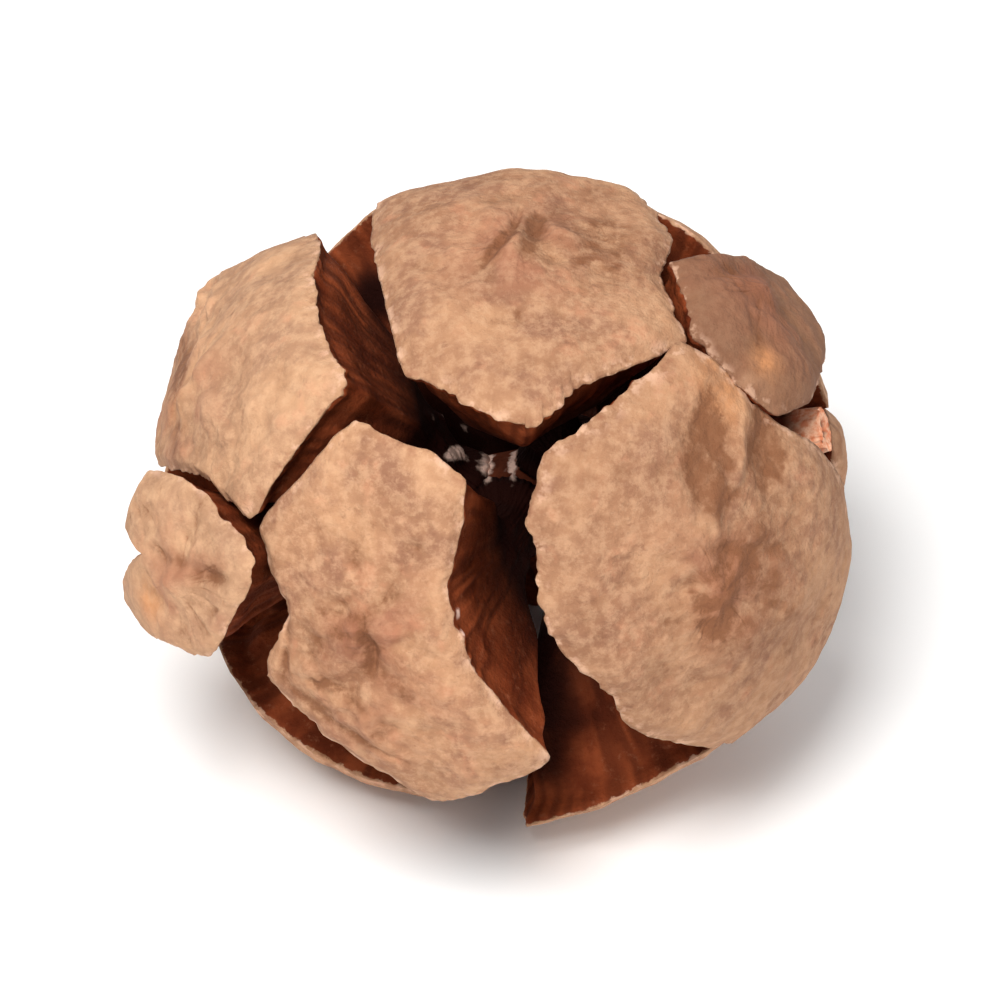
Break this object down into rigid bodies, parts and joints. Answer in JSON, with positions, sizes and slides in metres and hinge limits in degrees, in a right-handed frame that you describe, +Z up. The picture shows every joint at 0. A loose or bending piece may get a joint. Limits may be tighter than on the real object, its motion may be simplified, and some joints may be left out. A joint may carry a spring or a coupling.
{
  "type": "cypress cone",
  "caption": "Round woody cone of a cypress, ripe and opened: many-sided shield scales with thick dark side walls stand apart on a short central axis.",
  "frame": {"origin": "middle of the footprint, on the surface the cone rests on", "axes": "+Z up; +X roughly from the tip of the cone towards its stalk end; -Y towards the viewer of the picture"},
  "size_m": [0.0302, 0.0276, 0.0268],
  "materials": {
    "scale_wood": "dry and matt, tan outside and dark red-brown on the side walls",
    "stem": "dry and matt, red-brown, with a pale orange broken end"
  },
  "bodies": {
    "root": {"axis": "stem", "scale_1a": "scale_wood", "scale_1b": "scale_wood", "scale_2a": "scale_wood", "scale_2b": "scale_wood", "scale_3a": "scale_wood", "scale_3b": "scale_wood", "scale_4a": "scale_wood", "scale_4b": "scale_wood", "scale_5a": "scale_wood", "scale_5b": "scale_wood", "scale_6a": "scale_wood", "scale_6b": "scale_wood"}
  },
  "joints": []
}
